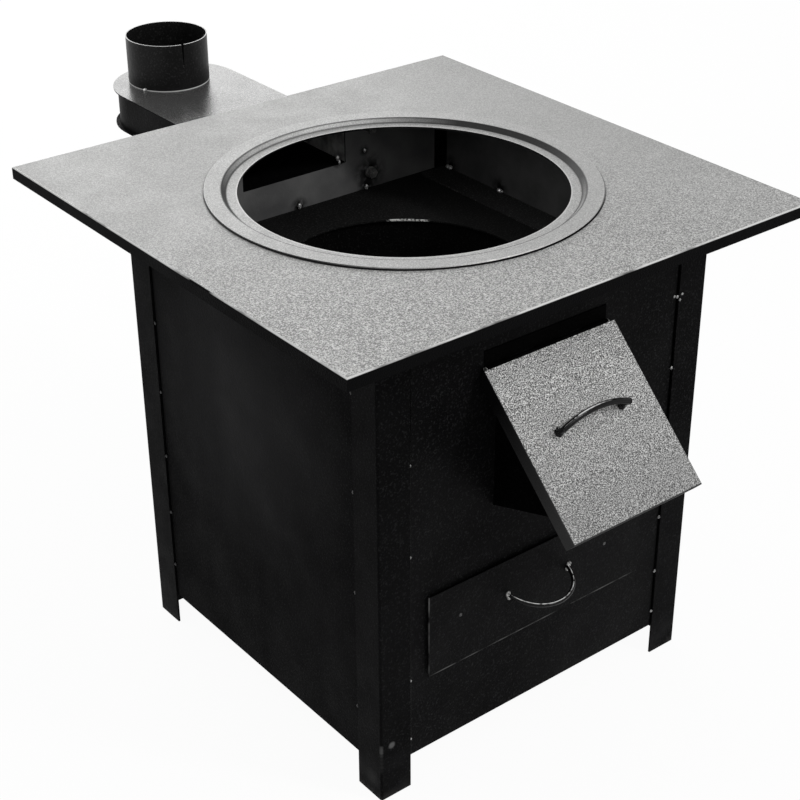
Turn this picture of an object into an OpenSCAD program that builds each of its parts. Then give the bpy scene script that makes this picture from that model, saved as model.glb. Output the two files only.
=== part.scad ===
// Square sheet-steel wood stove for one large round-bottomed pot.
// The pot hangs in a loose stepped ring in the top plate. Wood goes in through a sloped chute
// with a hinged lid, ash falls through a loose grate into a drawer, and smoke leaves through
// a flat duct at the back that ends in an upright collar for a stove pipe.
// Front is -Y, up is +Z, the floor is z = 0.

/* [Top plate] */
// Side of the square top plate
plate_side = 700; // [640:10:840]
// Thickness of the top plate
plate_t = 2.5; // [1.5:0.5:4]
// Depth of the folded edge, from the top face down
plate_edge = 16; // [10:1:19]
// Height of the top face above the floor
stove_h = 670; // [560:5:805]

/* [Pot ring] */
// Radius of the pot opening
ring_hole_r = 205; // [170:2.5:225]
// Width of the sunk shelf round the opening
ring_shelf_w = 13.5; // [8:0.5:20]
// Width of the slope between the shelf and the rim
ring_slope_w = 5.5; // [3:0.5:8]
// Width of the flat rim that lies on the plate
ring_rim_w = 22; // [15:0.5:32]
// Sheet thickness of the ring
ring_t = 2.5; // [2:0.5:4]
// Drop of the shelf below the rim
ring_drop = 6; // [2:0.5:8]

/* [Body] */
// Side of the square body, over the legs
body_side = 516; // [450:2:620]
// How far the body stands to the right and to the front of the plate's centre
body_shift = 8; // [0:1:12]
// Width of each face of the corner legs
leg_w = 46; // [30:1:60]
// Thickness of the corner legs
leg_t = 2.5; // [2:0.5:4]
// Thickness of the side, front and rear sheets
panel_t = 1.2; // [0.8:0.1:2]
// Height of the lower edge of the sheets above the floor
panel_bottom = 47; // [30:1:60]
// Open strip between each sheet's upright edge and the outer corner
corner_gap = 12; // [6:1:20]
// Height of the rails under the plate at the front and the sides
rail_h = 60; // [40:1:70]

/* [Fire room] */
// Drop of the baffle's top face below the plate's top face
baffle_drop = 120; // [100:5:150]
// Thickness of the baffle
baffle_t = 2; // [1.5:0.5:3]
// Radius of the flame hole in the baffle
baffle_hole_r = 164; // [130:2:190]
// Width of the angle strips that hold the baffle down
strip_w = 45; // [25:1:60]
// Drop of the angle strips' upright leg along the wall
strip_drop = 25; // [15:1:35]
// Thickness of the angle strips
strip_t = 2.5; // [2:0.5:3]
// How far the fire drum's wall lies outside the flame hole
drum_margin = 5.5; // [4:0.5:12]
// Wall of the fire drum
drum_t = 2.5; // [1.5:0.5:4]
// Thickness of the shelf under the drum
shelf_t = 2; // [1.5:0.5:3]
// Depth of the shelf's folded edges
shelf_edge = 18; // [8:1:24]
// Gap between the top of the drawer's front and the shelf's top face
shelf_over_drawer = 21; // [6:1:30]

/* [Grate] */
// Gap between the grate's edge and the flame hole, so that the grate lifts out
grate_play = 14; // [6:1:24]
// Thickness of the grate
grate_t = 12; // [8:1:18]
// Width of the rim of the grate
grate_rim = 14; // [10:1:20]
// Width of each slot
grate_slot = 10; // [7:1:14]
// Width of each bar
grate_bar = 12; // [8:1:16]
// Ledge of the shelf on which the grate's rim lies
grate_ledge = 10; // [6:1:13]

/* [Chute] */
// Sideways place of the chute and the drawer, from the middle of the body
front_offset = -8; // [-20:1:20]
// Width of the chute over its cheeks
chute_w = 150; // [110:2:180]
// Thickness of the chute's sheets
chute_t = 2; // [1.5:0.5:3]
// Height of the chute's sill above the shelf
sill_rise = 67; // [40:1:90]
// Rise of the chute's floor towards the mouth, in degrees
floor_slope = 18.5; // [8:0.5:24]
// Solid strip of the front sheet between the chute opening and the baffle
lintel_h = 8; // [6:1:30]

/* [Lid] */
// Slope of the closed lid, in degrees below level
lid_slope = 44; // [38:1:50]
// Width of the lid
lid_w = 206; // [200:2:250]
// Length of the lid, from the hinge axis
lid_len = 222; // [215:1:265]
// Depth of the lid's folded edges
lid_edge = 18; // [12:1:24]
// Sheet thickness of the lid
lid_t = 1.5; // [1:0.5:2]
// Drop of the hinge axis below the plate's top face
hinge_drop = 113; // [100:1:125]
// Outer radius of the hinge's knuckles
hinge_r = 3.5; // [3:0.25:5]
// Radius of the hinge pin
hinge_pin_r = 2; // [1.2:0.1:2.2]
// Length of the hinge
hinge_len = 190; // [120:5:198]
// Height of the hinge's leaf above its axis
leaf_h = 22; // [14:1:30]

/* [Handles] */
// Distance between the posts of the lid's handle
pull_span = 99; // [64:1:128]
// Radius of the bar of the lid's handle
pull_r = 3.75; // [3.25:0.25:5]
// Height of the posts of the lid's handle
pull_post = 15; // [10:1:20]
// Rise of the bar's arch above the posts
pull_rise = 9.5; // [6:0.5:16]
// Distance of the handle from the hinge axis
pull_along = 99; // [70:1:120]
// Lean of the arch towards the hinge, in degrees
pull_lean = 50; // [0:5:60]
// Radius of the handle's screws
screw_r = 2; // [1.5:0.25:2.5]
// Centre-line radius of the drawer's ring handle
grip_r = 50; // [40:1:60]
// Radius of its wire
grip_wire_r = 2.75; // [2:0.25:4]
// How far the ring's centre lies behind the drawer's front
grip_back = 8; // [2:1:15]
// Droop of the ring, in degrees
grip_droop = 12; // [0:1:20]

/* [Drawer] */
// Height of the lower edge of the drawer's front above the floor
drawer_z = 159; // [120:1:175]
// Width of the drawer's front
drawer_front_w = 355; // [300:5:390]
// Height of the drawer's front
drawer_front_h = 118; // [90:1:150]
// How far the front overlaps the opening all round
drawer_lap = 12; // [8:1:20]
// How far the front stands off the front sheet when it is shut
drawer_standoff = 3; // [0.6:0.2:6]
// Depth of the drawer's tray, front to back
drawer_depth = 430; // [300:5:440]
// Sheet thickness of the drawer
drawer_t = 1.2; // [0.8:0.1:2]
// Width of the faces of the drawer's guide angles
guide_w = 16; // [10:1:24]

/* [Flue duct] */
// Width of the duct over its side wall
duct_w = 172; // [140:2:220]
// How far the duct's top and bottom plates stand past its wall
duct_rim = 6; // [3:1:10]
// Height of the duct over both plates
duct_h = 54; // [40:1:70]
// Drop of the duct's top face below the plate's top face
duct_drop = 20; // [18:1:40]
// Sheet thickness of the duct
duct_t = 1.5; // [1:0.5:2.5]
// Distance of the centre of the duct's round end from the pot's axis
duct_end_y = 537; // [460:1:640]
// Distance of the collar's axis behind that centre
collar_back = 23; // [0:1:24]
// Outer radius of the collar
collar_r = 58; // [45:0.5:59]
// Height of the collar above the duct's top face
collar_h = 67; // [40:1:90]
// Width of the collar's open seam at the top
collar_seam = 4; // [1:0.5:6]
// Depth to which the seam gapes open
collar_seam_h = 34; // [10:2:40]
// Width of the flange that bolts the duct to the rear sheet
flange_w = 284; // [250:2:330]
// Distance of the bolts from the flange's side edge
bolt_in = 16; // [14:1:22]
// Radius of the bolts
bolt_r = 4; // [3:0.5:5]

/* [Fits] */
// Gap at welded and hung seats
seat_gap = 0.3; // [0.2:0.05:0.5]
// Play between a pin or screw and its hole, on the radius
pin_play = 0.05; // [0.02:0.01:0.1]
// Play beside and above the drawer's tray in its opening
drawer_play = 4.5; // [1:0.5:6]
// Outer radius of the sheets' folds
bend_r = 2.5; // [2.5:0.5:4]

/* [Hidden] */
$fn = 72;
over = 1;
paint = "#2c2c2d";
sanded = "#b9b9b8";
iron = "#3a3a3b";
steel = "#8b8b8c";

body_half = body_side / 2;
panel_out = body_half - leg_t;
panel_in = panel_out - panel_t;
panel_half = body_half - corner_gap;
plate_under = stove_h - plate_t;
ring_shelf_r = ring_hole_r + ring_shelf_w;
ring_step_r = ring_shelf_r + ring_slope_w;
ring_outer_r = ring_step_r + ring_rim_w;
cutout_r = ring_step_r + ring_t;

baffle_z = stove_h - baffle_drop;
baffle_under = baffle_z - baffle_t;
drum_in = baffle_hole_r + drum_margin;
drum_out = drum_in + drum_t;
shelf_z = drawer_z + drawer_front_h + shelf_over_drawer;
grate_r = baffle_hole_r - grate_play;
shelf_hole_r = grate_r - grate_ledge;

// Lines of the chute in the upright plane that runs front to back, in the body's own frame
sill_z = shelf_z + sill_rise;
hinge_y = -panel_out - hinge_r - seat_gap;
hinge_z = stove_h - hinge_drop;
knuckles = 5;
knuckle_w = hinge_len / knuckles;
knuckle_clear = hinge_r + 0.8;
// The lid's skin passes over the knuckles; its upper edge starts where it clears the leaf when open
skin_in = hinge_r + seat_gap;
skin_out = skin_in + lid_t;
lid_start = (skin_out * cos(lid_slope) - skin_in + panel_t + seat_gap) / sin(lid_slope);
mouth_lift = skin_in - seat_gap;
function mouth_z(y) = hinge_z + (mouth_lift + (y - hinge_y) * sin(lid_slope)) / cos(lid_slope);
function chute_low_z(y) = sill_z - (y + panel_out) * tan(floor_slope);
mouth_top_z = mouth_z(-panel_out);
nose_out = (mouth_top_z - sill_z) / (tan(lid_slope) + tan(floor_slope));
nose_y = -panel_out - nose_out;
opening_top_z = baffle_under - lintel_h;

floor_z = drawer_z + drawer_lap;
drawer_bottom_z = floor_z + seat_gap;
drawer_open_w = drawer_front_w - 2 * drawer_lap;
drawer_open_h = drawer_front_h - 2 * drawer_lap;
tray_w = drawer_open_w - 2 * drawer_play;
tray_h = drawer_open_h - drawer_play - seat_gap;
drawer_back_y = -panel_out - drawer_standoff;

duct_top_z = stove_h - duct_drop;
duct_wall_h = duct_h - 2 * duct_t;
flange_out = panel_out + duct_t;
duct_end = duct_end_y + body_shift;
collar_y = duct_end + collar_back;
flange_top_z = duct_top_z + 1;
flange_bottom_z = duct_top_z - duct_h - 2 * bolt_in - 5;

washer_t = 1.6;
washer_r = 2.05 * bolt_r;
nut_t = 1.6 * bolt_r;
bolt_head_t = 1.3 * bolt_r;
hex_r = 1.87 * bolt_r;

// The frame's origin lies on the floor, in the middle of the whole footprint
lid_end_y = -(lid_len - bend_r) * cos(lid_slope) - (skin_out - bend_r) * sin(lid_slope) - bend_r;
front_reach = -body_shift + hinge_y + lid_end_y;
rear_reach = duct_end_y + duct_w / 2 + duct_rim;
frame_y = (front_reach + rear_reach) / 2;

// Puts a piece that is drawn round the pot's axis into the frame
module round_pot() {
    translate([0, -frame_y, 0]) children();
}

// Puts a piece that is drawn round the body's middle into the frame
module in_body() {
    translate([body_shift, -body_shift - frame_y, 0]) children();
}

// Extrudes an outline that is drawn in Y and Z along X, centred on x
module across(x, w) {
    translate([x - w / 2, 0, 0]) rotate([90, 0, 90]) linear_extrude(w) children();
}

// Outline of a folded sheet cap: flat top at height top, both upper corners rounded
module cap_outline(w, top, depth, r) {
    translate([-w / 2, top - depth]) square([w, depth - r]);
    translate([r - w / 2, top - r]) square([w - 2 * r, r]);
    for (side = [-1, 1]) translate([side * (w / 2 - r), top - r]) circle(r);
}

// Square sheet with its four edges folded down
module folded_tray(w, d, top, depth, t, r) {
    difference() {
        intersection() {
            translate([0, d / 2, 0]) rotate([90, 0, 0]) linear_extrude(d) cap_outline(w, top, depth, r);
            across(0, w) cap_outline(d, top, depth, r);
        }
        translate([t - w / 2, t - d / 2, top - depth - over]) cube([w - 2 * t, d - 2 * t, depth - t + over]);
    }
}

module top_plate() {
    color(sanded) round_pot() difference() {
        folded_tray(plate_side, plate_side, stove_h, plate_edge, plate_t, bend_r);
        translate([0, 0, plate_under - over]) cylinder(r = cutout_r, h = plate_t + 2 * over, $fn = 144);
    }
}

module pot_ring() {
    rim_z = stove_h + seat_gap;
    rim_top = rim_z + ring_t;
    shelf_top = rim_top - ring_drop;
    fold = ring_t * tan(atan(ring_drop / ring_slope_w) / 2);
    color(sanded) round_pot() rotate_extrude($fn = 144) {
        polygon([
            [ring_hole_r, shelf_top - ring_t], [ring_shelf_r + fold, shelf_top - ring_t],
            [ring_step_r + fold, rim_z], [ring_outer_r, rim_z], [ring_outer_r, rim_top - 1],
            [ring_outer_r - 1, rim_top], [ring_step_r, rim_top], [ring_shelf_r, shelf_top],
            [ring_hole_r, shelf_top]
        ]);
    }
}

// Corner leg: a folded angle that stands at the corner given by the two signs
module leg(sx, sy) {
    outer_r = leg_t + 0.5;
    color(paint) in_body() scale_to_corner(sx, sy) linear_extrude(plate_under) difference() {
        union() {
            translate([outer_r, 0]) square([leg_w - outer_r, leg_w]);
            translate([0, outer_r]) square([leg_w, leg_w - outer_r]);
            translate([outer_r, outer_r]) circle(outer_r);
        }
        translate([leg_t, leg_t]) square(leg_w);
    }
}

// Moves a piece drawn from the front left corner to any corner of the body
module scale_to_corner(sx, sy) {
    mirror([sx > 0 ? 1 : 0, 0, 0]) mirror([0, sy > 0 ? 1 : 0, 0])
        translate([-body_half, -body_half, 0]) children();
}

module leg_front_left() {
    leg(-1, -1);
}

module leg_front_right() {
    leg(1, -1);
}

module leg_rear_left() {
    leg(-1, 1);
}

module leg_rear_right() {
    leg(1, 1);
}

// Sheet wall behind the legs' front faces, before its openings are cut
module wall_sheet() {
    translate([-panel_half, -panel_out, panel_bottom])
        cube([2 * panel_half, panel_t, plate_under - panel_bottom]);
}

module front_panel() {
    color(paint) in_body() difference() {
        wall_sheet();
        translate([front_offset - chute_w / 2 - seat_gap, -panel_out - over, sill_z - panel_t])
            cube([chute_w + 2 * seat_gap, panel_t + 2 * over, opening_top_z - sill_z + panel_t]);
        translate([front_offset - drawer_open_w / 2, -panel_out - over, floor_z])
            cube([drawer_open_w, panel_t + 2 * over, drawer_open_h]);
    }
}

module rear_panel() {
    color(paint) in_body() difference() {
        rotate([0, 0, 180]) wall_sheet();
        translate([-duct_w / 2 + duct_t, panel_in - over, duct_top_z - duct_h + duct_t])
            cube([duct_w - 2 * duct_t, panel_t + 2 * over, duct_wall_h]);
        flange_holes(bolt_r + 0.5);
    }
}

module left_panel() {
    color(paint) in_body() rotate([0, 0, -90]) wall_sheet();
}

module right_panel() {
    color(paint) in_body() rotate([0, 0, 90]) wall_sheet();
}

// Flat rail between two legs, level with their faces, on the outside of the sheet
module rail(h) {
    translate([leg_w - body_half, -body_half, plate_under - h])
        cube([body_side - 2 * leg_w, leg_t, h]);
}

module rail_front() {
    color(paint) in_body() rail(rail_h);
}

module rail_rear() {
    color(paint) in_body() rotate([0, 0, 180]) rail(plate_under - flange_top_z - seat_gap);
}

module rail_left() {
    color(paint) in_body() rotate([0, 0, -90]) rail(rail_h);
}

module rail_right() {
    color(paint) in_body() rotate([0, 0, 90]) rail(rail_h);
}

module baffle_plate() {
    half_x = panel_in - strip_t;
    color(iron) difference() {
        in_body() translate([-half_x, -panel_in, baffle_under]) cube([2 * half_x, 2 * panel_in, baffle_t]);
        round_pot() translate([0, 0, baffle_under - over])
            cylinder(r = baffle_hole_r, h = baffle_t + 2 * over, $fn = 144);
    }
}

// Angle strip on top of the baffle, drawn for the left wall
module baffle_strip() {
    length = 2 * panel_half;
    translate([-panel_in, -length / 2, baffle_z]) cube([strip_w, length, strip_t]);
    translate([-panel_in, -length / 2, baffle_z - strip_drop]) cube([strip_t, length, strip_drop]);
}

module baffle_strip_left() {
    color(iron) in_body() baffle_strip();
}

module baffle_strip_right() {
    color(iron) in_body() mirror([1, 0, 0]) baffle_strip();
}

// Space inside the chute, from its floor up to the lintel, all the way to the drum's middle
module chute_passage() {
    floor_lift = chute_t / cos(floor_slope);
    in_body() across(front_offset, chute_w - 2 * chute_t) polygon([
        [-panel_out, chute_low_z(-panel_out) + floor_lift], [0, chute_low_z(0) + floor_lift],
        [0, opening_top_z], [-panel_out, opening_top_z]
    ]);
}

// Solid cylinder of the drum's outside, from the floor up, that ends the chute's pieces
module drum_body() {
    round_pot() cylinder(r = drum_out, h = baffle_z, $fn = 120);
}

module fire_drum() {
    color(iron) difference() {
        round_pot() translate([0, 0, shelf_z]) difference() {
            cylinder(r = drum_out, h = baffle_under - shelf_z, $fn = 120);
            translate([0, 0, -over]) cylinder(r = drum_in, h = baffle_under - shelf_z + 2 * over, $fn = 120);
        }
        chute_passage();
    }
}

module grate_shelf() {
    side = 2 * panel_in;
    color(iron) difference() {
        in_body() folded_tray(side, side, shelf_z, shelf_edge, shelf_t, bend_r);
        round_pot() translate([0, 0, shelf_z - shelf_t - over])
            cylinder(r = shelf_hole_r, h = shelf_t + 2 * over, $fn = 120);
    }
}

// Cast grate: a rim, a cross rib, and bars that taper towards the ash side
module fire_grate() {
    pitch = grate_slot + grate_bar;
    field_r = grate_r - grate_rim;
    rows = floor(field_r / pitch);
    color(iron) round_pot() translate([0, 0, shelf_z + seat_gap]) difference() {
        cylinder(r = grate_r, h = grate_t, $fn = 120);
        for (side = [-1, 1], i = [-rows : rows]) intersection() {
            cylinder(r = field_r, h = 4 * grate_t, center = true, $fn = 120);
            translate([side > 0 ? grate_bar / 2 : -field_r - grate_bar / 2, i * pitch, 0])
                rotate([90, 0, 90]) linear_extrude(field_r) polygon([
                    [-grate_slot / 2 - 2, -over], [grate_slot / 2 + 2, -over],
                    [grate_slot / 2, grate_t + over], [-grate_slot / 2, grate_t + over]
                ]);
        }
    }
}

module ash_floor() {
    side = 2 * panel_in;
    color(paint) in_body() folded_tray(side, side, floor_z, guide_w, drawer_t, bend_r);
}

// Angle that keeps the drawer straight, drawn for the left side
module drawer_guide() {
    inner = -tray_w / 2 - 1;
    length = 2 * panel_in - 3 * guide_w;
    translate([front_offset + inner - drawer_t, -panel_in + guide_w, floor_z]) cube([drawer_t, length, guide_w]);
    translate([front_offset + inner - guide_w, -panel_in + guide_w, floor_z]) cube([guide_w, length, drawer_t]);
}

module drawer_guide_left() {
    color(paint) in_body() drawer_guide();
}

module drawer_guide_right() {
    color(paint) in_body() translate([2 * front_offset, 0, 0]) mirror([1, 0, 0]) drawer_guide();
}

module drawer_tray() {
    color(paint) in_body() translate([front_offset - tray_w / 2, drawer_back_y, drawer_bottom_z]) difference() {
        cube([tray_w, drawer_depth, tray_h]);
        translate([drawer_t, drawer_t, drawer_t])
            cube([tray_w - 2 * drawer_t, drawer_depth - 2 * drawer_t, tray_h]);
    }
}

module drawer_front() {
    color(paint) in_body() translate([front_offset - drawer_front_w / 2, drawer_back_y - 1.5, drawer_z])
        cube([drawer_front_w, 1.5, drawer_front_h]);
}

module drawer_handle() {
    face_y = drawer_back_y - 1.5;
    grip_z = drawer_z + drawer_front_h * 0.56;
    color(paint) in_body() intersection() {
        translate([front_offset, face_y + grip_back, grip_z]) rotate([grip_droop, 0, 0])
            rotate_extrude() translate([grip_r, 0]) circle(grip_wire_r, $fn = 24);
        translate([front_offset - 2 * grip_r, face_y - 2 * grip_r, grip_z - 2 * grip_r])
            cube([4 * grip_r, 2 * grip_r, 4 * grip_r]);
    }
}

// Cheek of the chute: a triangle outside the front sheet, and a web inside it up to the drum
module chute_cheek(side) {
    color(paint) difference() {
        in_body() across(front_offset + side * (chute_w - chute_t) / 2, chute_t) polygon([
            [nose_y, chute_low_z(nose_y)], [hinge_y - 6.5, mouth_z(hinge_y - 6.5)],
            [hinge_y - 2, hinge_z - knuckle_clear], [-panel_out, hinge_z - knuckle_clear],
            [-panel_out, opening_top_z], [-panel_in, opening_top_z], [-panel_in, baffle_under],
            [0, baffle_under], [0, chute_low_z(0)]
        ]);
        drum_body();
    }
}

module chute_cheek_left() {
    chute_cheek(-1);
}

module chute_cheek_right() {
    chute_cheek(1);
}

module chute_floor() {
    lift = chute_t / cos(floor_slope);
    color(paint) difference() {
        in_body() across(front_offset, chute_w - 2 * chute_t) polygon([
            [nose_y, chute_low_z(nose_y)], [0, chute_low_z(0)], [0, chute_low_z(0) + lift],
            [nose_y + lift, chute_low_z(nose_y + lift) + lift]
        ]);
        drum_body();
    }
}

// Places a piece that is drawn round the hinge axis, with the closed lid lying along -Y
module on_lid() {
    in_body() translate([front_offset, hinge_y, hinge_z]) rotate([lid_slope, 0, 0]) children();
}

// Room for every second knuckle, from the one numbered first
module knuckle_rooms(first) {
    for (i = [first : 2 : knuckles - 1])
        translate([i * knuckle_w - hinge_len / 2, -knuckle_clear, -knuckle_clear])
            cube([knuckle_w, 2 * knuckle_clear, 2 * knuckle_clear]);
}

// Every second barrel of the hinge, from the one numbered first
module barrels(first) {
    for (i = [first : 2 : knuckles - 1])
        translate([i * knuckle_w - hinge_len / 2 + seat_gap, 0, 0]) rotate([0, 90, 0])
            cylinder(r = hinge_r, h = knuckle_w - 2 * seat_gap, $fn = 36);
}

module hinge_bore() {
    translate([-hinge_len, 0, 0]) rotate([0, 90, 0])
        cylinder(r = hinge_pin_r + pin_play, h = 2 * hinge_len, $fn = 36);
}

module hinge_leaf() {
    color(paint) in_body() translate([front_offset, hinge_y, hinge_z]) difference() {
        union() {
            difference() {
                translate([-hinge_len / 2 + seat_gap, hinge_r + seat_gap - panel_t, 0])
                    cube([hinge_len - 2 * seat_gap, panel_t, leaf_h]);
                knuckle_rooms(1);
            }
            barrels(0);
        }
        hinge_bore();
    }
}

module hinge_pin() {
    head_t = 1.2;
    head_r = hinge_r - seat_gap;
    color(steel) in_body() translate([front_offset, hinge_y, hinge_z]) rotate([0, 90, 0]) {
        cylinder(r = hinge_pin_r, h = hinge_len + 0.2, center = true, $fn = 36);
        for (side = [-1, 1]) translate([0, 0, side * (hinge_len + head_t) / 2])
            cylinder(r = head_r, h = head_t, center = true, $fn = 36);
    }
}

// Webs under the skin that carry the lid's own barrels
module barrel_webs(first) {
    for (i = [first : 2 : knuckles - 1])
        translate([i * knuckle_w - hinge_len / 2 + seat_gap, -lid_start - 2, 1])
            cube([knuckle_w - 2 * seat_gap, 2, skin_in - 0.8]);
}

module lid() {
    trim = (lid_edge - skin_out) * tan(lid_slope);
    color(sanded) on_lid() difference() {
        union() {
            difference() {
                intersection() {
                    rotate([90, 0, 0]) linear_extrude(lid_len) cap_outline(lid_w, skin_out, lid_edge, bend_r);
                    across(0, lid_w) {
                        polygon([
                            [-lid_len, skin_out - lid_edge], [-lid_len, skin_out - bend_r],
                            [bend_r - lid_len, skin_out], [-lid_start, skin_out], [-lid_start, 0],
                            [-lid_start - trim, skin_out - lid_edge]
                        ]);
                        translate([bend_r - lid_len, skin_out - bend_r]) circle(bend_r);
                    }
                }
                translate([lid_t - lid_w / 2, lid_t - lid_len, skin_out - lid_edge - over])
                    cube([lid_w - 2 * lid_t, lid_len, lid_edge - lid_t + over]);
            }
            barrels(1);
            barrel_webs(1);
        }
        hinge_bore();
        pull_holes(screw_r + 0.2, -over);
    }
}

// Two upright holes at the posts of the lid's handle, from height low upwards
module pull_holes(r, low) {
    for (side = [-1, 1]) translate([side * pull_span / 2, -pull_along, low])
        cylinder(r = r, h = skin_out + pull_post - 1 - low, $fn = 24);
}

module lid_handle() {
    arch_r = (pow(pull_span / 2, 2) + pow(pull_rise, 2)) / (2 * pull_rise);
    half_turn = asin(pull_span / 2 / arch_r) + asin(pull_r / arch_r);
    color(paint) on_lid() difference() {
        union() {
            for (side = [-1, 1]) translate([side * pull_span / 2, -pull_along, skin_out])
                cylinder(r = pull_r - 0.4, h = pull_post, $fn = 32);
            translate([0, -pull_along, skin_out + pull_post]) rotate([-pull_lean, 0, 0])
                translate([0, 0, pull_rise - arch_r]) rotate([90, 0, 0]) rotate([0, 0, 90 - half_turn])
                    rotate_extrude(angle = 2 * half_turn, $fn = 96)
                        translate([arch_r, 0]) circle(pull_r, $fn = 32);
        }
        pull_holes(screw_r + pin_play, skin_out - over);
    }
}

// Pan-head screws that hold the lid's handle, put in from under the lid
module lid_handle_screws() {
    head_r = 2 * screw_r;
    color(steel) on_lid() for (side = [-1, 1]) translate([side * pull_span / 2, -pull_along, skin_in]) {
        translate([0, 0, -2]) cylinder(r = head_r, h = 2, $fn = 24);
        translate([0, 0, -1]) cylinder(r = screw_r, h = pull_post - 1, $fn = 24);
    }
}

// Outline of the duct seen from above: straight sides and a round end
module duct_outline(half_w, start) {
    translate([-half_w, start]) square([2 * half_w, duct_end - start]);
    translate([0, duct_end]) circle(half_w, $fn = 96);
}

module duct_plate(low) {
    in_body() translate([0, 0, low]) linear_extrude(duct_t) duct_outline(duct_w / 2 + duct_rim, flange_out);
}

module duct_top() {
    color(sanded) difference() {
        duct_plate(duct_top_z - duct_t);
        in_body() translate([0, collar_y, duct_top_z - duct_t - over])
            cylinder(r = collar_r - duct_t, h = duct_t + 2 * over, $fn = 72);
    }
}

module duct_bottom() {
    color(paint) duct_plate(duct_top_z - duct_h);
}

module duct_wall() {
    color(paint) in_body() translate([0, 0, duct_top_z - duct_h + duct_t]) linear_extrude(duct_wall_h)
        difference() {
            duct_outline(duct_w / 2, flange_out);
            duct_outline(duct_w / 2 - duct_t, flange_out - over);
        }
}

module flue_collar() {
    color(paint) in_body() translate([0, collar_y, duct_top_z]) difference() {
        cylinder(r = collar_r, h = collar_h, $fn = 96);
        translate([0, 0, -over]) cylinder(r = collar_r - duct_t, h = collar_h + 2 * over, $fn = 96);
        rotate([90, 0, -8]) linear_extrude(2 * collar_r) polygon([
            [-collar_seam / 2, collar_h + over], [collar_seam / 2, collar_h + over],
            [seat_gap, collar_h - collar_seam_h], [-seat_gap, collar_h - collar_seam_h]
        ]);
    }
}

// Places each of the flange's four bolts, with its axis pointing out of the rear sheet
module at_flange_bolts() {
    for (side = [-1, 1], z = [flange_bottom_z + bolt_in - 2, flange_top_z - bolt_in + 4])
        translate([side * (flange_w / 2 - bolt_in), panel_in, z]) rotate([-90, 0, 0]) children();
}

module flange_holes(r) {
    at_flange_bolts() translate([0, 0, -over]) cylinder(r = r, h = panel_t + duct_t + 2 * over, $fn = 36);
}

module duct_flange() {
    color(paint) in_body() difference() {
        translate([-flange_w / 2, panel_out, flange_bottom_z])
            cube([flange_w, duct_t, flange_top_z - flange_bottom_z]);
        translate([-duct_w / 2 + duct_t, panel_out - over, duct_top_z - duct_h + duct_t])
            cube([duct_w - 2 * duct_t, duct_t + 2 * over, duct_wall_h]);
        flange_holes(bolt_r + 0.5);
    }
}

// Hex bolts with their heads outside and their threaded ends in the smoke room
module duct_bolts() {
    grip = panel_t + duct_t;
    color(steel) in_body() at_flange_bolts() {
        translate([0, 0, grip]) cylinder(r = hex_r, h = bolt_head_t, $fn = 6);
        translate([0, 0, -washer_t - nut_t - 3]) cylinder(r = bolt_r, h = washer_t + nut_t + 3 + grip, $fn = 36);
    }
}

module duct_washers() {
    color(steel) in_body() at_flange_bolts() translate([0, 0, -washer_t]) difference() {
        cylinder(r = washer_r, h = washer_t, $fn = 48);
        translate([0, 0, -over]) cylinder(r = bolt_r + 0.5, h = washer_t + 2 * over, $fn = 36);
    }
}

module duct_nuts() {
    color(steel) in_body() at_flange_bolts() translate([0, 0, -washer_t - nut_t]) difference() {
        cylinder(r = hex_r, h = nut_t, $fn = 6);
        translate([0, 0, -over]) cylinder(r = bolt_r + pin_play, h = nut_t + 2 * over, $fn = 36);
    }
}

top_plate();
pot_ring();
leg_front_left();
leg_front_right();
leg_rear_left();
leg_rear_right();
front_panel();
rear_panel();
left_panel();
right_panel();
rail_front();
rail_rear();
rail_left();
rail_right();
baffle_plate();
baffle_strip_left();
baffle_strip_right();
fire_drum();
grate_shelf();
fire_grate();
ash_floor();
drawer_guide_left();
drawer_guide_right();
drawer_tray();
drawer_front();
drawer_handle();
chute_cheek_left();
chute_cheek_right();
chute_floor();
hinge_leaf();
hinge_pin();
lid();
lid_handle();
lid_handle_screws();
duct_flange();
duct_top();
duct_bottom();
duct_wall();
flue_collar();
duct_bolts();
duct_washers();
duct_nuts();
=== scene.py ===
import math
import random

import bmesh
import bpy
from mathutils import Matrix, Vector


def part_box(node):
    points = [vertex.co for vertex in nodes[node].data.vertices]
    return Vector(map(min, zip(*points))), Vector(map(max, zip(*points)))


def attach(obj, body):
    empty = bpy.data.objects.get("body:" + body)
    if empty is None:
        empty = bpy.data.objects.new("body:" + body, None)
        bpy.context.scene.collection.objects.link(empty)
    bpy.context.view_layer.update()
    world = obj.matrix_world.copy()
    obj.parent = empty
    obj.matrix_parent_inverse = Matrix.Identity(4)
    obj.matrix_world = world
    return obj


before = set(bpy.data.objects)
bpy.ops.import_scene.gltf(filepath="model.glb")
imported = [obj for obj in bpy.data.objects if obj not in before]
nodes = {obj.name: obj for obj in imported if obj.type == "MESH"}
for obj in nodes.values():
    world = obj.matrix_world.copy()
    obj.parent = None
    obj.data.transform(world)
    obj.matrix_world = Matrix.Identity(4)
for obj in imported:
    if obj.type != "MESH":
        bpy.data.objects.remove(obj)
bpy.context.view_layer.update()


# ---------------------------------------------------------------------------
# LEGS
# Four folded angles of 2.5 mm sheet that carry everything else, sprayed with
# the black heat-resistant paint of the whole stove, which dries like fine sand.
# Their feet are scuffed and dusty, and the front left one has been knocked.

def shader(name):
    """An empty material with its surface shader; gives both back."""
    made = bpy.data.materials.new(name)
    made.use_nodes = True
    return made, made.node_tree.nodes["Principled BSDF"]


def set_up(one, **settings):
    """Sets a node's settings; one that is an input's name sets that input."""
    for key, value in settings.items():
        if hasattr(one, key):
            setattr(one, key, value)
        else:
            one.inputs[key.replace("_", " ")].default_value = value


def node(made, kind, **settings):
    """Adds one node to a material or the world."""
    new = made.node_tree.nodes.new(kind)
    set_up(new, **settings)
    return new


def wire(made, start, end):
    made.node_tree.links.new(start, end)


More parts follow.
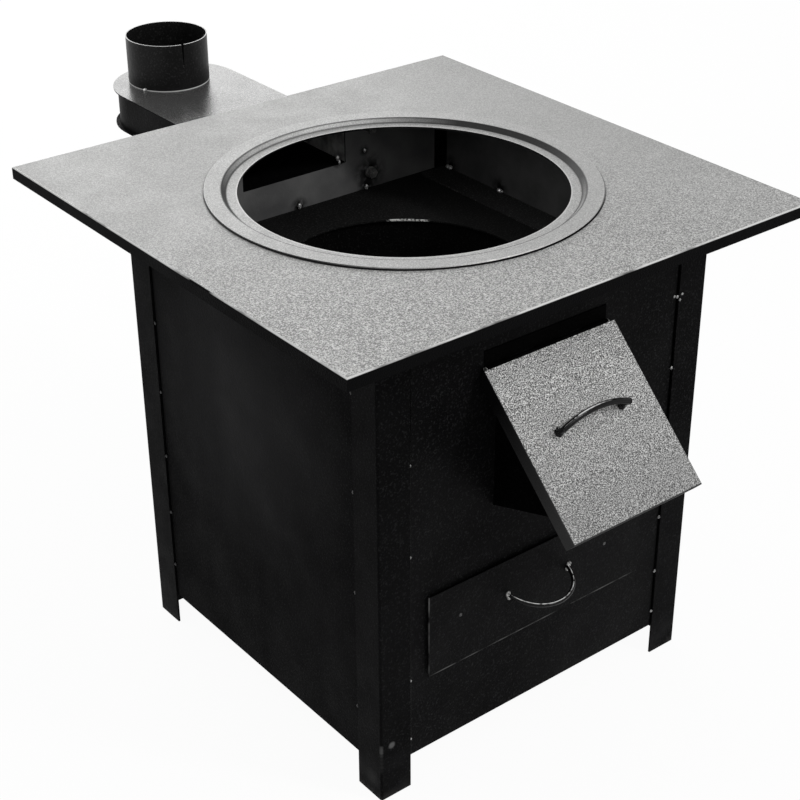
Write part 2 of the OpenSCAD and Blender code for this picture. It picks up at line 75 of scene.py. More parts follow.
def on_piece(made, what="Object"):
    """A point's place in metres, or with "Normal" the way its face looks."""
    return node(made, "ShaderNodeTexCoord").outputs[what]


def grain(made, scale, detail=3.0, rough=0.5):
    """Noise on the piece's own coordinates."""
    noise = node(made, "ShaderNodeTexNoise", Scale=scale, Detail=detail, Roughness=rough)
    wire(made, on_piece(made), noise.inputs["Vector"])
    return noise.outputs["Fac"]


def between(made, value, low, high, to_low=0.0, to_high=1.0):
    """Stretches the part of a value from low to high over the range given."""
    ranged = node(made, "ShaderNodeMapRange", From_Min=low, From_Max=high,
                  To_Min=to_low, To_Max=to_high)
    wire(made, value, ranged.inputs["Value"])
    return ranged.outputs["Result"]


def patches(made, scale, detail, low=0.3, high=0.7, to_low=0.0, to_high=1.0):
    """Uneven patches: noise, with its part from low to high stretched."""
    return between(made, grain(made, scale, detail), low, high, to_low, to_high)


def reckon(made, kind, first, second):
    """One sum of two values; either may be a number or another node's output."""
    sum_node = node(made, "ShaderNodeMath", operation=kind)
    for socket, value in zip(sum_node.inputs, (first, second)):
        if isinstance(value, (int, float)):
            socket.default_value = value
        else:
            wire(made, value, socket)
    return sum_node.outputs[0]


def both(made, first, second):
    """Where two masks overlap."""
    return reckon(made, "MULTIPLY", first, second)


def either(made, first, second):
    """Where at least one of two masks is."""
    return reckon(made, "MAXIMUM", first, second)


def vector_sum(made, kind, value, other):
    """One sum of an output with a fixed vector or with another output."""
    sum_node = node(made, "ShaderNodeVectorMath", operation=kind)
    wire(made, value, sum_node.inputs[0])
    if isinstance(other, bpy.types.NodeSocket):
        wire(made, other, sum_node.inputs[1])
    else:
        sum_node.inputs[1].default_value = other
    return sum_node.outputs["Value" if kind in ("DISTANCE", "DOT_PRODUCT") else "Vector"]


def part_of(made, vector, axis):
    """The X, Y or Z of a vector output."""
    split = node(made, "ShaderNodeSeparateXYZ")
    wire(made, vector, split.inputs[0])
    return split.outputs[axis]


def height_above(made, low, high):
    """0 at one height above the floor and 1 at another, in metres."""
    return between(made, part_of(made, on_piece(made), "Z"), low, high)


def near(made, point, outer, inner):
    """1 close to a point of the piece and 0 away from it, in metres."""
    return between(made, vector_sum(made, "DISTANCE", on_piece(made), point), outer, inner)


def grey(level, blue=None):
    """A grey; its blue is given where it differs."""
    return (level, level, level if blue is None else blue)


def blend_colour(made, factor, first, second):
    """Mixes two colours; either may be a colour or another node's output."""
    mixed = node(made, "ShaderNodeMix", data_type="RGBA")
    wire(made, factor, mixed.inputs["Factor"])
    for socket, colour in ((mixed.inputs[6], first), (mixed.inputs[7], second)):
        if isinstance(colour, tuple):
            socket.default_value = (*colour, 1)
        else:
            wire(made, colour, socket)
    return mixed.outputs[2]


def coat(made, surface, colour):
    """Gives a surface its colour."""
    wire(made, colour, surface.inputs["Base Color"])


def add_bump(made, surface, *layers):
    """Stacks bumps of (height, size in metres) on a surface shader."""
    last = None
    for height, distance in layers:
        bump = node(made, "ShaderNodeBump", Strength=1.0, Distance=distance)
        wire(made, height, bump.inputs["Height"])
        if last is not None:
            wire(made, last, bump.inputs["Normal"])
        last = bump.outputs["Normal"]
    wire(made, last, surface.inputs["Normal"])


def sandy_bump(made, surface, dents=0.0):
    """Sand of two sizes, on sheet that waves as deep as dents."""
    waves = [(grain(made, 5.5, 1), dents)] if dents else []
    add_bump(made, surface, *waves, (grain(made, 900, 2), 0.0003), (grain(made, 240, 2), 0.0003))


def soot_black(made, surface, dark=grey(0.0016, 0.0017), light=grey(0.0046, 0.0048),
               sheen=0.42, gloss=0.025):
    """Colour and gloss of the black paint; gives the colour back for more layers."""
    colour = blend_colour(made, patches(made, 4, 2), dark, light)
    specks = patches(made, 420, 2, 0.55, 0.72)
    colour = blend_colour(made, specks, colour, tuple(3.0 * c for c in light))
    wire(made, patches(made, 24, 4, 0.3, 0.7, sheen, sheen + 0.14), surface.inputs["Roughness"])
    set_up(surface, Specular_IOR_Level=gloss)
    return colour


def black_paint(name, dents=0.0, **finish):
    """The plain black paint; finish is what soot_black takes."""
    made, surface = shader(name)
    coat(made, surface, soot_black(made, surface, **finish))
    sandy_bump(made, surface, dents)
    return made


def dress(material, *names):
    """Gives CAD nodes a material in place of their plain one."""
    for name in names:
        slots = nodes[name].data.materials
        for i in range(len(slots)):
            slots[i] = material


leg_lo, leg_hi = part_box("leg_front_left")
leg_width = leg_hi[0] - leg_lo[0]

# Rubbed spots on the front left foot: (point, outer and inner radius, grey).
chip = (leg_lo[0] + 0.36 * leg_width, leg_lo[1], 0.081)
smudge = (leg_lo[0], leg_lo[1] + 0.4 * leg_width, 0.026)
fold_wear = ((0.084, 0.05), (0.080, 0.07), (0.076, 0.07), (0.071, 0.03),
             (0.065, 0.02), (0.059, 0.02), (0.053, 0.02), (0.047, 0.015))
foot_marks = [(chip, 0.0058, 0.0030, 0.10), (smudge, 0.016, 0.003, 0.020)]
foot_marks += [((leg_lo[0], leg_lo[1], z), 0.0042, 0.0014, level) for z, level in fold_wear]

leg_paint, surface = shader("leg_paint")
colour = soot_black(leg_paint, surface, gloss=0.013)
scuffed = both(leg_paint, height_above(leg_paint, 0.012, 0.0),
               patches(leg_paint, 160, 4, 0.60, 0.50))
colour = blend_colour(leg_paint, scuffed, colour, (0.024, 0.0235, 0.023))
dusty = both(leg_paint, height_above(leg_paint, 0.07, 0.01),
             patches(leg_paint, 22, 3, 0.42, 0.68))
colour = blend_colour(leg_paint, dusty, colour, grey(0.014, 0.0145))
for point, outer, inner, level in foot_marks:
    colour = blend_colour(leg_paint, near(leg_paint, point, outer, inner), colour, grey(level))
coat(leg_paint, surface, colour)
sandy_bump(leg_paint, surface)
dress(leg_paint, "leg_front_left", "leg_front_right", "leg_rear_left", "leg_rear_right")


# ---------------------------------------------------------------------------
# SHEET WALLS AND RAILS
# Four sheets of 1.2 mm behind the legs' faces, and flat rails over them under the plate. A painted
# shadow line runs along every leg's edge, and the left wall has a painted patch of sheen. Inside,
# the paint is smoked grey, painted lighter on the rear and right walls where light falls in, with
# soot round the weld drops.

def out_and_in(made, middle):
    """The way from a middle point, and 1 on faces that look away from it, 0 on the others."""
    from_mid = vector_sum(made, "SUBTRACT", on_piece(made), middle)
    outward = vector_sum(made, "DOT_PRODUCT", from_mid, on_piece(made, "Normal"))
    return from_mid, between(made, outward, -0.001, 0.001)


leg_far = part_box("leg_rear_right")[1]
left_x, front_y = leg_lo[0], leg_lo[1]
right_x, rear_y = leg_far[0], leg_far[1]
body_mid = (leg_lo + leg_far) / 2
body_half = (right_x - left_x) / 2
outer_seam = body_half - leg_width - 0.0032
inner_seam = body_half - 0.0160
# The middle of a painted sheen on the left wall.
painted_sheen_spot = (left_x, body_mid[1] + 0.03, 0.44)

# Weld drops inside the walls: (x, z, radius) at the rear, (y, radius) at the
# right, where they lie along the baffle. The nut has its own stain.
rear_inside_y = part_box("rear_panel")[0][1]
right_inside_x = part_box("right_panel")[0][0]
baffle_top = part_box("baffle_plate")[1][2]
rear_welds = ((0.0117, 0.5543, 0.0028), (0.1263, 0.5525, 0.0030), (0.0775, 0.6076, 0.0026),
              (0.0800, 0.6015, 0.0020), (0.1238, 0.6078, 0.0018))
right_welds = ((0.018, 0.0034), (0.124, 0.0034), (0.1305, 0.0030), (0.012, 0.0026))
nut_stain = (0.134, 0.574, 0.0055)
stains = {"rear": [(x, rear_inside_y, z, size) for x, z, size in (*rear_welds, nut_stain)],
          "right": [(right_inside_x, y, 0.555, 0.0036) for y, size in right_welds[:2]]}

# The inside's smoked grey for each wall, partly soot and partly painted light: lighter on the rear
# and right walls where light falls in through the pot hole.
for wall, smoke_and_lit_level in (("front", 0.03), ("left", 0.04), ("right", 0.085), ("rear", 0.13)):
    made, surface = shader(wall + "_wall_paint")
    colour = soot_black(made, surface, grey(0.0012, 0.0013), grey(0.0050, 0.0052), 0.40,
                        gloss=0.007 if wall == "left" else 0.02)
    if wall == "left":
        # Painted sheen: a soft lighter patch on the left wall's outside.
        colour = blend_colour(made, near(made, painted_sheen_spot, 0.24, 0.04), colour,
                              grey(0.017, 0.0175))

    smoke = blend_colour(made, patches(made, 14, 5, 0.35, 0.65),
                         grey(0.72 * smoke_and_lit_level, 0.73 * smoke_and_lit_level), grey(1.25 * smoke_and_lit_level, 1.24 * smoke_and_lit_level))
    for x, y, z, size in stains.get(wall, ()):
        stain = both(made, near(made, (x, y, z), 5.5 * size, 1.5 * size),
                     patches(made, 120, 3, 0.30, 0.55))
        smoke = blend_colour(made, stain, smoke, grey(0.004))
    from_mid, outer = out_and_in(made, body_mid)
    colour = blend_colour(made, outer, smoke, colour)

    # Painted shadow: black lines in the gaps where the walls meet the legs' edges, made metallic so
    # nothing reflects there.
    sideways = part_of(made, from_mid, "X" if wall in ("front", "rear") else "Y")
    sideways = reckon(made, "ABSOLUTE", sideways, 0)
    outer_line = between(made, sideways, outer_seam - 0.0004, outer_seam + 0.0004)
    inner_line = between(made, sideways, inner_seam - 0.0005, inner_seam + 0.0005)
    painted_gap_shadow = either(made, both(made, outer, outer_line),
                  both(made, reckon(made, "SUBTRACT", 1.0, outer), inner_line))
    colour = blend_colour(made, painted_gap_shadow, colour, grey(0.0))
    coat(made, surface, colour)
    wire(made, painted_gap_shadow, surface.inputs["Metallic"])
    sandy_bump(made, surface, dents=0.014)
    dress(made, wall + "_panel")

dress(black_paint("rail_paint"), "rail_front", "rail_left", "rail_right", "rail_rear")


# ---------------------------------------------------------------------------
# WELD TACKS
# Small uneven drops, 4 to 5 mm across, that hold the sheets to the legs' edges.
# Those on the left side lie under the paint; the others are rubbed bright.

def drop(mesh, centre, out, size=0.0026, high=0.0013, stretch=1.0, along=(0, 0, 1), seed=0):
    """Adds one weld drop to a bmesh, on a face that looks along out."""
    rough = random.Random(seed)
    ball = bmesh.ops.create_uvsphere(mesh, u_segments=14, v_segments=8, radius=1.0)["verts"]
    out, along = Vector(out), Vector(along)
    turn = Matrix((along, out.cross(along), out)).transposed().to_4x4()
    for v in ball:
        ripple = 1 + 0.10 * math.sin(5 * v.co.x + seed) * math.cos(4 * v.co.y + 2 * seed)
        v.co = Vector((v.co.x * size * stretch, v.co.y * size, v.co.z * high)) * ripple
        v.co *= 1 + 0.06 * (rough.random() - 0.5)
    bmesh.ops.transform(mesh, matrix=Matrix.Translation(centre) @ turn, verts=ball)


def piece_from(mesh, name, material, body):
    """Turns a bmesh into a finished piece that moves with a CAD body."""
    bmesh.ops.recalc_face_normals(mesh, faces=mesh.faces)
    data = bpy.data.meshes.new(name)
    mesh.to_mesh(data)
    mesh.free()
    made = bpy.data.objects.new(name, data)
    bpy.context.scene.collection.objects.link(made)
    data.materials.append(material)
    for face in data.polygons:
        face.use_smooth = True
    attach(made, body)


def weld_metal(name, dull, bright, painted_x=None):
    """Bare weld metal, uneven in colour; under paint where X is less than painted_x."""
    made, surface = shader(name)
    colour = blend_colour(made, patches(made, 420, 3, 0.4, 0.6), dull, bright)
    if painted_x is not None:
        painted = between(made, part_of(made, on_piece(made), "X"), painted_x + 0.001, painted_x)
        colour = blend_colour(made, painted, colour, grey(0.02))
    coat(made, surface, colour)
    set_up(surface, Metallic=0.6)
    wire(made, patches(made, 600, 3, 0.3, 0.7, 0.25, 0.5), surface.inputs["Roughness"])
    add_bump(made, surface, (grain(made, 800, 2), 0.0004))
    return made


# Heights of the tacks on the front and back, by side (-1 left, 1 right), and
# on the sides, by end (-1 front, 1 rear). Each drop sits just past the leg's
# edge and sinks towards the wall behind it.
front_heights = {-1: (0.470, 0.345, 0.164, 0.0731), 1: (0.5501, 0.4504, 0.2252, 0.1378, 0.0709)}
side_heights = {-1: (0.560, 0.43, 0.29, 0.12), 1: (0.4766, 0.3748, 0.2761, 0.1862, 0.0996)}
past_edge, sunk = 0.0012, 0.0016
tack_size, left_tack_size = 0.0026, 0.0019
tack_places = []
for side, x in ((-1, left_x + leg_width), (1, right_x - leg_width)):
    for y, out, heights in ((front_y, -1, front_heights[side]),
                            (rear_y, 1, front_heights[-side])):
        tack_places += [((x - side * past_edge, y - out * sunk, z), (0, out, 0),
                         left_tack_size if side < 0 else tack_size) for z in heights]
for end, y in ((-1, front_y + leg_width), (1, rear_y - leg_width)):
    for x, out in ((left_x, -1), (right_x, 1)):
        tack_places += [((x - out * sunk, y - end * past_edge, z), (out, 0, 0), tack_size)
                        for z in side_heights[end]]

# Spatter round the highest tack of the front right leg, on the wall and the leg.
for dx, dz in ((-0.006, 0.0015), (0.005, 0.003), (0.0015, -0.004)):
    y = front_y + (0.0023 if dx < 0 else -0.0002)
    tack_places.append(((right_x - leg_width + dx, y, front_heights[1][0] + dz), (0, -1, 0), 0.002))

tacks = bmesh.new()
for seed, (centre, out, size) in enumerate(tack_places):
    drop(tacks, centre, out, size=size, seed=seed)
tack_metal = weld_metal("tack_metal", grey(0.10), grey(0.34, 0.335), painted_x=left_x + 0.004)
piece_from(tacks, "leg_weld_tacks", tack_metal, "stove")


# ---------------------------------------------------------------------------
# BAFFLE, FIRE DRUM AND SHELF
# The floor of the pot's room, with the flame hole, and the drum and shelf under it, of 2 and 2.5 mm
# sheet smoked black. A painted highlight lies on the far edge of the hole, and weld drops on the
# walls above it are painted near white for their glints.

def from_axis(made, middle):
    """How far a point lies from an upright axis through middle, in metres."""
    level = vector_sum(made, "MULTIPLY", on_piece(made), (1, 1, 0))
    return vector_sum(made, "DISTANCE", level, middle)


room_paint, surface = shader("room_paint")
colour = soot_black(room_paint, surface, grey(0.006), grey(0.013), 0.5)
drum_lo, drum_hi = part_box("fire_drum")
hole_mid = (drum_lo + drum_hi) / 2
hole_mid.z = 0
hole_radius = 0.164
# Painted highlight: a pale arc on the far edge of the flame hole.
rim_highlight_mid = (hole_mid[0] + 0.1054, hole_mid[1] + 0.1256, baffle_top)
painted_rim_highlight = both(room_paint, near(room_paint, rim_highlight_mid, 0.030, 0.022),
               patches(room_paint, 330, 3, 0.42, 0.52))
hole_rim = between(room_paint, from_axis(room_paint, hole_mid),
                   hole_radius + 0.0025, hole_radius + 0.0015)
painted_rim_highlight = both(room_paint, painted_rim_highlight, hole_rim)
coat(room_paint, surface, blend_colour(room_paint, painted_rim_highlight, colour, grey(0.85, 0.83)))
add_bump(room_paint, surface, (grain(room_paint, 9, 2), 0.006), (grain(room_paint, 500, 3), 0.0004))
dress(room_paint, "baffle_plate", "grate_shelf")
dress(black_paint("drum_paint", dark=grey(0.0025), light=grey(0.005), sheen=0.6), "fire_drum")
dress(black_paint("strip_paint", dark=grey(0.016), light=grey(0.034)),
      "baffle_strip_left", "baffle_strip_right")

spatter = bmesh.new()
for i, (x, z, size) in enumerate(rear_welds):
    drop(spatter, (x, rear_inside_y - 0.0014, z), (0, -1, 0), size=size, high=0.0020,
         stretch=1.6, seed=70 + i)
for i, (y, size) in enumerate(right_welds):
    drop(spatter, (right_inside_x - 0.0022, y - 0.001, baffle_top + 0.0050), (-0.8, 0, 0.6),
         size=size, high=0.0024, seed=80 + i, along=(0, 1, 0))
# Weld metal painted near white for the glints on these drops.
glint_painted_weld = weld_metal("glint_painted_weld", grey(0.35), grey(0.85, 0.84))
piece_from(spatter, "smoke_room_welds", glint_painted_weld, "stove")


# ---------------------------------------------------------------------------
# GRATE
# A loose round casting with slots, which lies on the shelf: coarse, dark and a
# little rusty.

cast, surface = shader("cast_grate")
rust = patches(cast, 40, 5, 0.5, 0.7)
coat(cast, surface, blend_colour(cast, rust, grey(0.012), (0.03, 0.018, 0.012)))
set_up(surface, Roughness=0.75, Specular_IOR_Level=0.25)
add_bump(cast, surface, (grain(cast, 350, 3), 0.0008), (grain(cast, 60, 2), 0.0006))
dress(cast, "fire_grate")


# ---------------------------------------------------------------------------
# ASH FLOOR, GUIDES AND DRAWER
# Sheet of 1.2 and 1.5 mm. The drawer's front is spot-welded to its tray and shows two dots; a pale
# line painted along its lower and left edges is a highlight. Its handle is half a ring of round
# wire, glossy with paint and with a painted highlight along its crest, welded on at both feet.

def facing(made, direction, low=0.8, high=0.97):
    """1 on the faces of a piece that look in a direction, 0 on the others."""
    match = vector_sum(made, "DOT_PRODUCT", on_piece(made, "Normal"), direction)
    return between(made, match, low, high)


drawer_paint = black_paint("drawer_paint", dents=0.007)
dress(drawer_paint, "drawer_tray", "ash_floor", "drawer_guide_left", "drawer_guide_right")

front_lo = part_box("drawer_front")[0]
front_paint, surface = shader("drawer_front_paint")
colour = soot_black(front_paint, surface)
# Painted highlight: a pale line along the front's lower and left edges.
low_edge = height_above(front_paint, front_lo[2] + 0.0018, front_lo[2] + 0.0010)
left_edge = between(front_paint, part_of(front_paint, on_piece(front_paint), "X"),
                    front_lo[0] + 0.0016, front_lo[0] + 0.0010)
painted_edge_highlight = both(front_paint, either(front_paint, low_edge, left_edge),
                patches(front_paint, 30, 3, 0.40, 0.62))
coat(front_paint, surface, blend_colour(front_paint, painted_edge_highlight, colour, grey(0.11, 0.108)))
sandy_bump(front_paint, surface, dents=0.007)
dress(front_paint, "drawer_front")

glossy, surface = shader("glossy_wire_paint")
colour = blend_colour(glossy, patches(glossy, 60, 3, 0.35, 0.65), grey(0.002), grey(0.005))
# Painted highlight: a pale line along the crest of the drawer's and the lid's handles.
painted_crest_highlight = both(glossy, facing(glossy, (-0.1, -0.3, 0.949), 0.965, 0.99),
             patches(glossy, 90, 2, 0.36, 0.5))
coat(glossy, surface, blend_colour(glossy, painted_crest_highlight, colour, grey(0.95, 0.94)))
set_up(surface, Specular_IOR_Level=0.12)
wire(glossy, patches(glossy, 120, 3, 0.3, 0.7, 0.12, 0.22), surface.inputs["Roughness"])
add_bump(glossy, surface, (grain(glossy, 260, 2), 0.0003))
dress(glossy, "drawer_handle", "lid_handle")

grip_lo, grip_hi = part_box("drawer_handle")
wire_half = 0.002
feet = bmesh.new()
for side, x in ((-1, grip_lo[0] + wire_half), (1, grip_hi[0] - wire_half)):
    for i in range(5):
        drop(feet, (x + side * (0.0006 * i - 0.001), front_lo[1] - 0.0004,
                    grip_hi[2] - 0.003 + 0.0017 * (i - 2)),
             (0, -1, 0), size=0.0036, high=0.0024, seed=40 + i + side)
foot_weld = weld_metal("foot_weld", grey(0.06), grey(0.42, 0.41))
piece_from(feet, "drawer_handle_welds", foot_weld, "drawer")

dots = bmesh.new()
spots_x, spots_z = (-0.128, 0.114), 0.230
for i, x in enumerate(spots_x):
    drop(dots, (x, front_lo[1] - 0.0001, spots_z), (0, -1, 0), size=0.0024, high=0.0006,
         seed=60 + i)
spot_weld = weld_metal("spot_weld", grey(0.02), grey(0.09))
piece_from(dots, "drawer_spot_welds", spot_weld, "drawer")


# ---------------------------------------------------------------------------
# CHUTE
# Two cheeks and a sloped floor of 2 mm sheet, welded through the front sheet. Their paint is darker
# and duller than the stove's other paint: painted shade under the lid.

shade_painted_chute_paint = black_paint("shade_painted_chute_paint", dark=grey(0.0006), light=grey(0.0014), sheen=0.55,
                          gloss=0.006)
dress(shade_painted_chute_paint, "chute_cheek_left", "chute_cheek_right", "chute_floor")


# ---------------------------------------------------------------------------
# HINGE AND LID
# A leaf with knuckles on the front sheet, a pin, and a lid of 1.5 mm sheet with its edges folded
# down. The lid's face carries the painted silvery sheen of the sandy paint, and painted shade
# darkens it down the slope; the strip above the hinge is painted black as shade.

# The hinge leaf takes the same darkened paint: painted shade above the lid.
dress(shade_painted_chute_paint, "hinge_leaf")

near_side = (-0.2, -0.9, 0)


def sand_with_painted_sheen(name, direction, pale, deep, size=650, sheen=0.4, metal=0.44, turn=(0.8, 0.97),
                 sand=(0.5, 0.5), rough=0.0008, coarse=None):
    """The sandy black paint, with a painted silvery sheen on faces that look in a direction and
    black on the others.

    sand is how much of the dark and light grains shows, and rough how high
    they stand; coarse is between's range for a sand that grows towards the
    near side. Gives the material, its shader and its colour back."""
    made, surface = shader(name)
    up = facing(made, direction, *turn)
    colour = blend_colour(made, patches(made, 3.5, 4, 0.32, 0.68), deep, pale)
    grains = grain(made, size, 1.0, 0.6)
    dark = between(made, grains, 0.52, 0.36, 0.0, sand[0])
    light = between(made, grains, 0.52, 0.68, 0.0, sand[1])
    relief = grains
    if coarse:
        toward = vector_sum(made, "DOT_PRODUCT", on_piece(made), near_side)
        amount = between(made, toward, *coarse)
        dark, light, relief = (both(made, v, amount) for v in (dark, light, relief))
    colour = blend_colour(made, dark, colour, grey(0.06))
    colour = blend_colour(made, light, colour, grey(0.86, 0.85))
    # Painted sheen: faces that look in the direction get the silvery colour in place of the black.
    colour = blend_colour(made, up, grey(0.004, 0.0042), colour)
    wire(made, both(made, up, metal), surface.inputs["Metallic"])
    set_up(surface, Specular_IOR_Level=0.008)
    wire(made, patches(made, 25, 4, 0.3, 0.7, sheen, sheen + 0.1), surface.inputs["Roughness"])
    add_bump(made, surface, (grain(made, 4, 1), 0.005), (relief, rough))
    return made, surface, colour


slope = math.radians(44)
off_lid = Vector((0, -math.sin(slope), math.cos(slope)))
down_lid = Vector((0, -math.cos(slope), -math.sin(slope)))
pin_lo, pin_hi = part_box("hinge_pin")
pin_mid = (pin_lo + pin_hi) / 2
lid_paint, surface, colour = sand_with_painted_sheen("lid_paint", off_lid, grey(0.40, 0.395),
                                          grey(0.35, 0.345), size=720, sand=(1.0, 1.0),
                                          rough=0.0010)
from_pin = vector_sum(lid_paint, "SUBTRACT", on_piece(lid_paint), pin_mid)
down = vector_sum(lid_paint, "DOT_PRODUCT", from_pin, down_lid)
# Painted shade: the lid's face grows darker down the slope.
painted_slope_shade = between(lid_paint, down, 0.04, 0.20, 0.0, 0.42)
colour = blend_colour(lid_paint, painted_slope_shade, colour, grey(0.10))
# Painted shade: the strip of the lid above the hinge is near black.
painted_hinge_shade = between(lid_paint, down, 0.0020, 0.0024)
coat(lid_paint, surface, blend_colour(lid_paint, painted_hinge_shade, grey(0.0015), colour))
dress(lid_paint, "lid")

pull_lo, pull_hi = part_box("lid_handle")
foot_in, foot_down, foot_off = 0.0049, 0.099, 0.0038
foot = pin_mid + down_lid * foot_down + off_lid * foot_off
blobs = bmesh.new()
for x in (pull_lo[0] + foot_in, pull_hi[0] - foot_in):
    for i in range(6):
        turn = math.radians(60 * i + 20)
        rise = 0.0022 * math.sin(turn)
        drop(blobs, (x + 0.0030 * math.cos(turn), foot[1] + rise, foot[2] + rise), off_lid,
             size=0.0032, high=0.0046, seed=90 + i, along=(1, 0, 0))
piece_from(blobs, "lid_handle_welds", glossy, "lid")

dull_steel, surface = shader("dull_steel")
tarnish = patches(dull_steel, 120, 4, 0.35, 0.65)
coat(dull_steel, surface, blend_colour(dull_steel, tarnish, grey(0.12, 0.118), grey(0.30, 0.29)))
set_up(surface, Metallic=0.5, Roughness=0.45)
add_bump(dull_steel, surface, (grain(dull_steel, 900, 2), 0.0002))
dress(dull_steel, "hinge_pin", "lid_handle_screws", "duct_bolts", "duct_washers", "duct_nuts")


# ---------------------------------------------------------------------------
# TOP PLATE AND POT RING
# A square of 2.5 mm sheet with its edges folded down and a painted highlight along the top of the
# folds, and a loose ring pressed from the same sheet: a flat rim, a slope and a sunk shelf round
# the hole. A painted shadow darkens the plate along the ring's near rim.

ring_lo, ring_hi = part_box("pot_ring")
ring_mid = (ring_lo + ring_hi) / 2
ring_mid.z = 0
ring_reach = ring_hi[0] - ring_mid[0]
slope_top = ring_reach - 0.0220
slope_foot = slope_top - 0.0055
pot_hole = slope_foot - 0.0135


def line(made, value, middle, outer, inner, most=1.0):
    """A narrow band where a value lies close to the middle one."""
    away = reckon(made, "ABSOLUTE", reckon(made, "SUBTRACT", value, middle), 0)
    return between(made, away, outer, inner, 0.0, most)


plate_paint, surface, colour = sand_with_painted_sheen("plate_paint", (0, 0, 1), grey(0.43, 0.425),
                                            grey(0.37, 0.365), sand=(0.6, 0.6),
                                            coarse=(0.05, 0.36, 0.35, 1.0))
# Painted shadow: a dark line on the plate just outside the ring's near rim.
painted_ring_shadow = line(plate_paint, from_axis(plate_paint, ring_mid), ring_reach + 0.0004, 0.0014, 0.0008)
toward = vector_sum(plate_paint, "DOT_PRODUCT", on_piece(plate_paint), near_side)
painted_ring_shadow = both(plate_paint, painted_ring_shadow, between(plate_paint, toward, 0.16, 0.25))
colour = blend_colour(plate_paint, painted_ring_shadow, colour, grey(0.008))

plate_lo, plate_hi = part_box("top_plate")
plate_half = (plate_hi[0] - plate_lo[0]) / 2
from_mid = vector_sum(plate_paint, "SUBTRACT", on_piece(plate_paint), (plate_lo + plate_hi) / 2)
off_x, off_y = (reckon(plate_paint, "ABSOLUTE", part_of(plate_paint, from_mid, axis), 0)
                for axis in "XY")
# Painted highlight: a pale line along the top of the plate's folded edges.
at_fold = between(plate_paint, either(plate_paint, off_x, off_y),
                  plate_half - 0.0022, plate_half - 0.0016)
painted_fold_highlight = both(plate_paint, at_fold,
            height_above(plate_paint, plate_hi[2] - 0.0018, plate_hi[2] - 0.0012))
painted_fold_highlight = both(plate_paint, painted_fold_highlight, patches(plate_paint, 14, 3, 0.34, 0.5))
coat(plate_paint, surface, blend_colour(plate_paint, painted_fold_highlight, colour, grey(0.72, 0.71)))
dress(plate_paint, "top_plate")

ring_paint, surface, colour = sand_with_painted_sheen("ring_paint", (0, 0, 1), grey(0.44, 0.435),
                                           grey(0.40, 0.395), sheen=0.36, turn=(0.3, 0.6),
                                           sand=(0.25, 0.25), rough=0.0003)
away = from_axis(ring_paint, ring_mid)
# Painted shade: the ring is darker where its faces lean sideways.
painted_side_shade = part_of(ring_paint, on_piece(ring_paint, "Normal"), "X")
painted_side_shade = between(ring_paint, reckon(ring_paint, "ABSOLUTE", painted_side_shade, 0), 0.30, 0.62, 0.0, 0.95)
colour = blend_colour(ring_paint, painted_side_shade, colour, grey(0.02))
# Painted shade in the creases at the top and the foot of the ring's slope.
for crease in (slope_foot, slope_top):
    colour = blend_colour(ring_paint, line(ring_paint, away, crease, 0.0016, 0.0006, 0.7),
                          colour, grey(0.04))
# Painted highlights: pale lines on the up-facing edges at the hole and at the outer rim.
painted_ring_highlights = either(ring_paint, line(ring_paint, away, pot_hole, 0.0020, 0.0012),
               line(ring_paint, away, ring_reach + 0.0002, 0.0020, 0.0012))
painted_ring_highlights = both(ring_paint, painted_ring_highlights, facing(ring_paint, (0, 0, 1)))
coat(ring_paint, surface, blend_colour(ring_paint, painted_ring_highlights, colour, grey(0.56, 0.555)))
dress(ring_paint, "pot_ring")


# ---------------------------------------------------------------------------
# FLUE DUCT AND COLLAR
# A flat duct of 1.5 mm sheet, bolted to the rear sheet by its flange. Its smooth top mirrors the
# upright collar and carries the painted silvery sheen; the collar is rolled from a strip with a
# gaping seam, tacked on with short beads, bare along its foot, and painted pale on its rim's top as
# a highlight.

duct_paint, surface, colour = sand_with_painted_sheen("duct_paint", (0, 0, 1), grey(0.215, 0.213),
                                           grey(0.18, 0.178), sheen=0.17, metal=0.7,
                                           sand=(0.3, 0.1), rough=0.0002)
coat(duct_paint, surface, colour)
dress(duct_paint, "duct_top")
dress(leg_paint, "duct_bottom", "duct_flange")

duct_lo, duct_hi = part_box("duct_wall")
duct_wall_paint, surface = shader("duct_wall_paint")
colour = soot_black(duct_wall_paint, surface)
outer = out_and_in(duct_wall_paint, (duct_lo + duct_hi) / 2)[1]
smoke = blend_colour(duct_wall_paint, patches(duct_wall_paint, 60, 4, 0.35, 0.65), grey(0.20),
                     grey(0.50, 0.49))
coat(duct_wall_paint, surface, blend_colour(duct_wall_paint, outer, smoke, colour))
add_bump(duct_wall_paint, surface, (grain(duct_wall_paint, 240, 2), 0.0003))
dress(duct_wall_paint, "duct_wall")

collar_lo, collar_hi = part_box("flue_collar")
collar_paint, surface = shader("collar_paint")
colour = soot_black(collar_paint, surface, grey(0.004), grey(0.009), 0.34, gloss=0.1)
# The foot is bare weld metal; the rim's top is painted pale as a highlight.
bare_foot_and_painted_rim = either(collar_paint,
              height_above(collar_paint, collar_lo[2] + 0.0013, collar_lo[2] + 0.0008),
              facing(collar_paint, (0, 0, 1)))
coat(collar_paint, surface, blend_colour(collar_paint, bare_foot_and_painted_rim, colour, grey(0.75, 0.745)))
add_bump(collar_paint, surface, (grain(collar_paint, 30, 2), 0.0010),
         (grain(collar_paint, 240, 2), 0.0003))
dress(collar_paint, "flue_collar")

